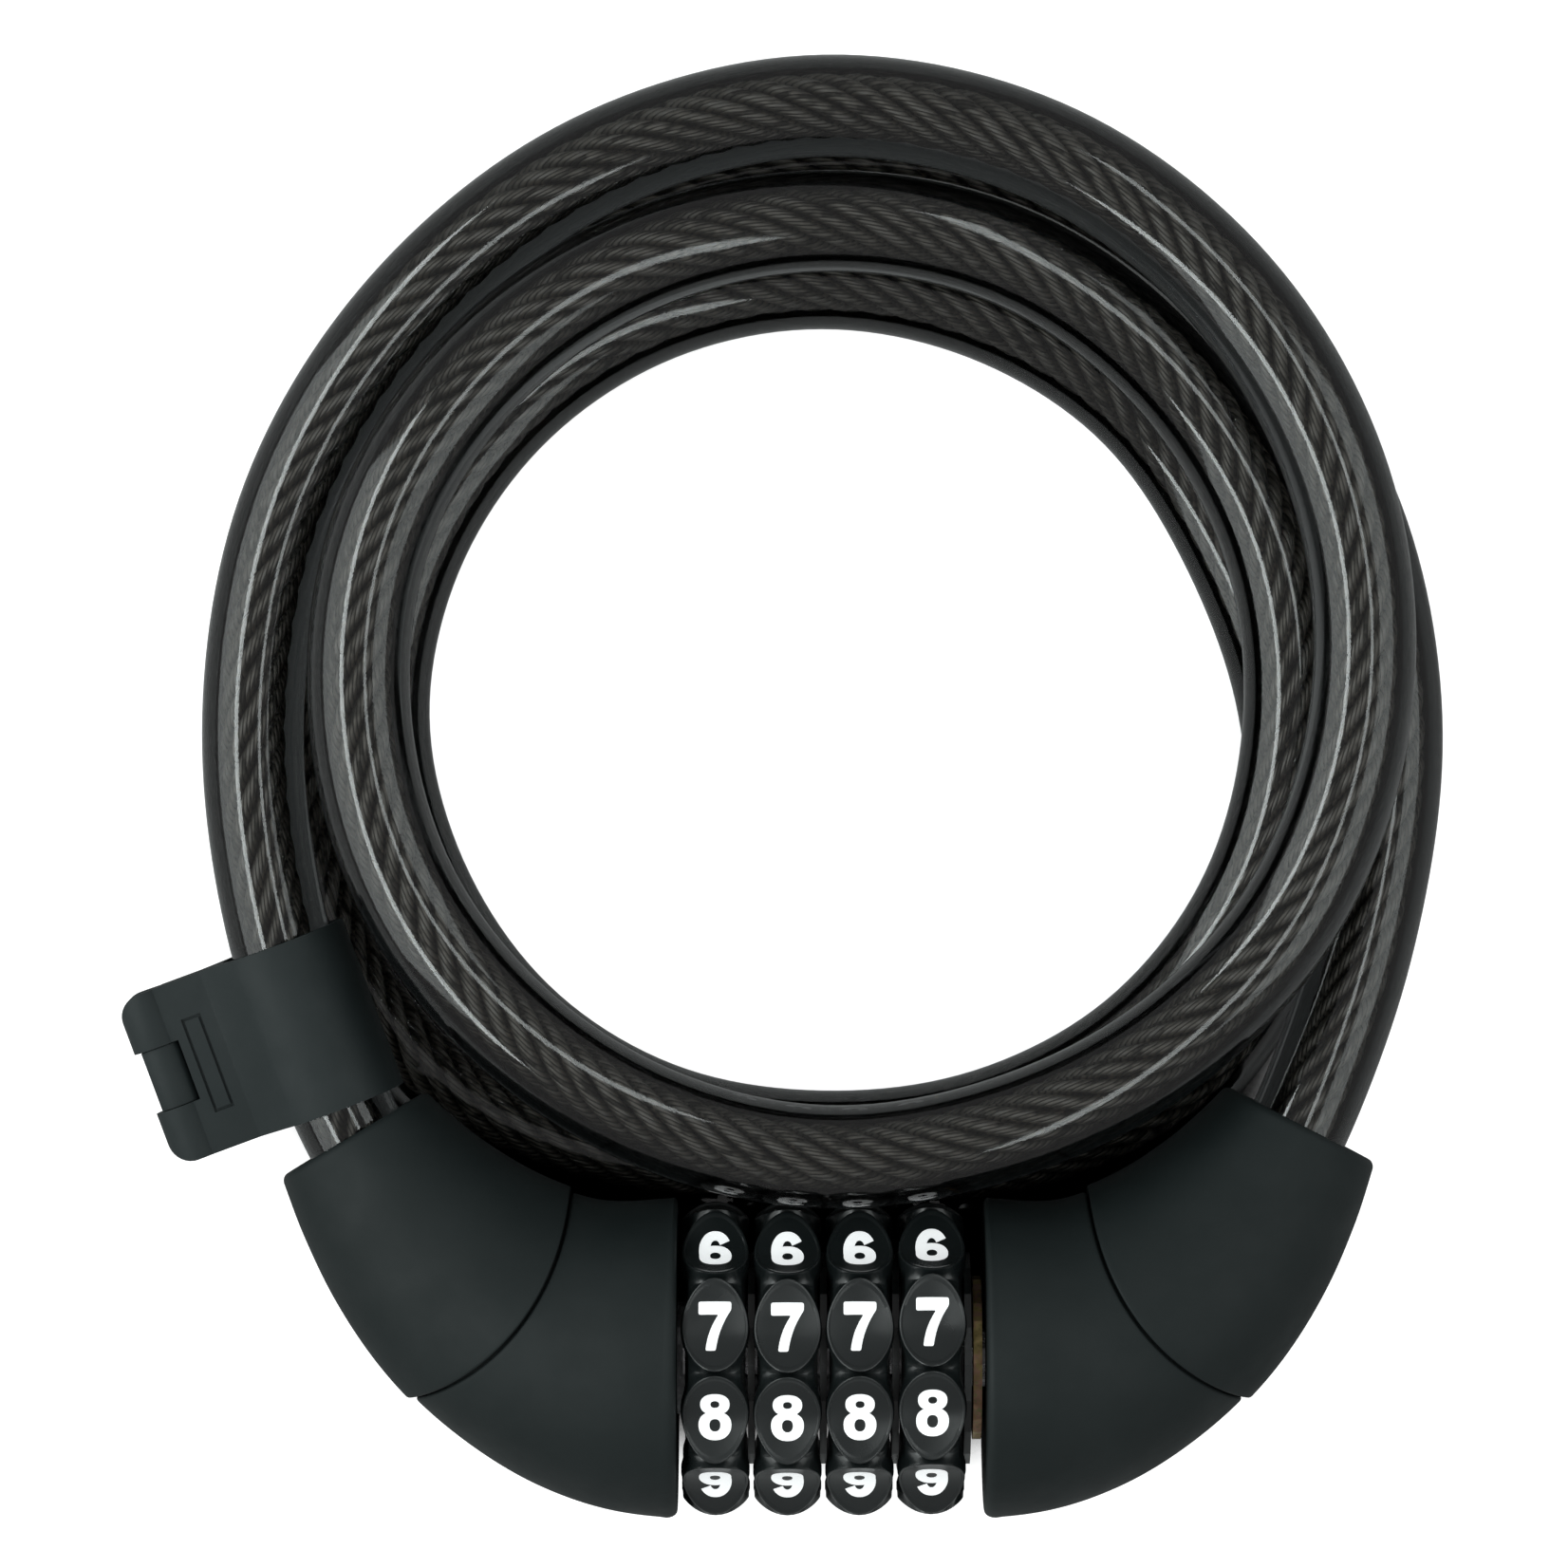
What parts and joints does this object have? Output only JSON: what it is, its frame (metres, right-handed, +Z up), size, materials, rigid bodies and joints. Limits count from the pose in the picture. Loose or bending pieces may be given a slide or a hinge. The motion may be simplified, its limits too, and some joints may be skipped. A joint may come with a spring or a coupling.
{
  "type": "combination cable lock",
  "caption": "Self-coiling wire rope cable in a smoked clear jacket, joined by a curved lock body with numbered dials, with a carrying clip.",
  "frame": {"origin": "on the table, under the middle of the lock body's box", "axes": "+X along the row of dials towards the half that pulls off, +Y from the lock body towards the coil, +Z up from the table"},
  "size_m": [0.1564, 0.1713, 0.0376],
  "materials": {
    "cover_plastic": "soft satin black",
    "dial_plastic": "satin black with white digits",
    "clip_plastic": "fine matt black",
    "smoked_vinyl": "glossy smoked clear",
    "wire_rope": "twisted bright strands",
    "die_cast": "as cast",
    "plain_steel": "plain",
    "yellow_zinc": "yellow zinc plated"
  },
  "bodies": {
    "lock_body": {"left_body_cover": "cover_plastic", "left_end_cover": "cover_plastic", "left_carrier": "die_cast", "left_ferrule": "plain_steel", "left_ferrule_pin": "plain_steel", "barrel_roll_pin": "plain_steel", "lock_barrel": "die_cast", "detent_spring": "plain_steel", "barrel_end_plate": "yellow_zinc", "spacer_washer_1": "dial_plastic", "spacer_washer_2": "dial_plastic", "spacer_washer_3": "dial_plastic", "spacer_washer_4": "dial_plastic", "cable_jacket": "smoked_vinyl", "cable_core": "wire_rope", "clip_lower_jaw": "clip_plastic", "clip_hinge_pin": "plain_steel"},
    "dial_1_body": {"dial_1": "dial_plastic", "code_ring_1": "die_cast"},
    "dial_2_body": {"dial_2": "dial_plastic", "code_ring_2": "die_cast"},
    "dial_3_body": {"dial_3": "dial_plastic", "code_ring_3": "die_cast"},
    "dial_4_body": {"dial_4": "dial_plastic", "code_ring_4": "die_cast"},
    "pin_half": {"right_body_cover": "cover_plastic", "right_end_cover": "cover_plastic", "right_carrier": "die_cast", "right_ferrule": "plain_steel", "right_ferrule_pin": "plain_steel", "pin_roll_pin": "plain_steel", "locking_pin": "plain_steel"},
    "clip_jaw": {"clip_upper_jaw": "clip_plastic"}
  },
  "joints": [
    {"name": "dial_1_turn", "type": "hinge", "parent": "lock_body", "child": "dial_1_body", "pos_m": [-0.0133, -0.0064, 0.0188], "axis": [1, 0, 0], "continuous": true},
    {"name": "dial_2_turn", "type": "hinge", "parent": "lock_body", "child": "dial_2_body", "pos_m": [-0.0049, -0.0064, 0.0188], "axis": [1, 0, 0], "continuous": true},
    {"name": "dial_3_turn", "type": "hinge", "parent": "lock_body", "child": "dial_3_body", "pos_m": [0.0035, -0.0064, 0.0188], "axis": [1, 0, 0], "continuous": true},
    {"name": "dial_4_turn", "type": "hinge", "parent": "lock_body", "child": "dial_4_body", "pos_m": [0.0119, -0.0064, 0.0188], "axis": [1, 0, 0], "continuous": true},
    {"name": "pin_pull", "type": "slide", "parent": "lock_body", "child": "pin_half", "axis": [1, 0, 0], "range_m": [0, 0.042], "deforming": ["cable_jacket", "cable_core"]},
    {"name": "clip_open", "type": "hinge", "parent": "lock_body", "child": "clip_jaw", "pos_m": [-0.07742, 0.02682, 0.01936], "axis": [0.3466, -0.9369, -0.0448], "range_deg": [0, 75]}
  ]
}
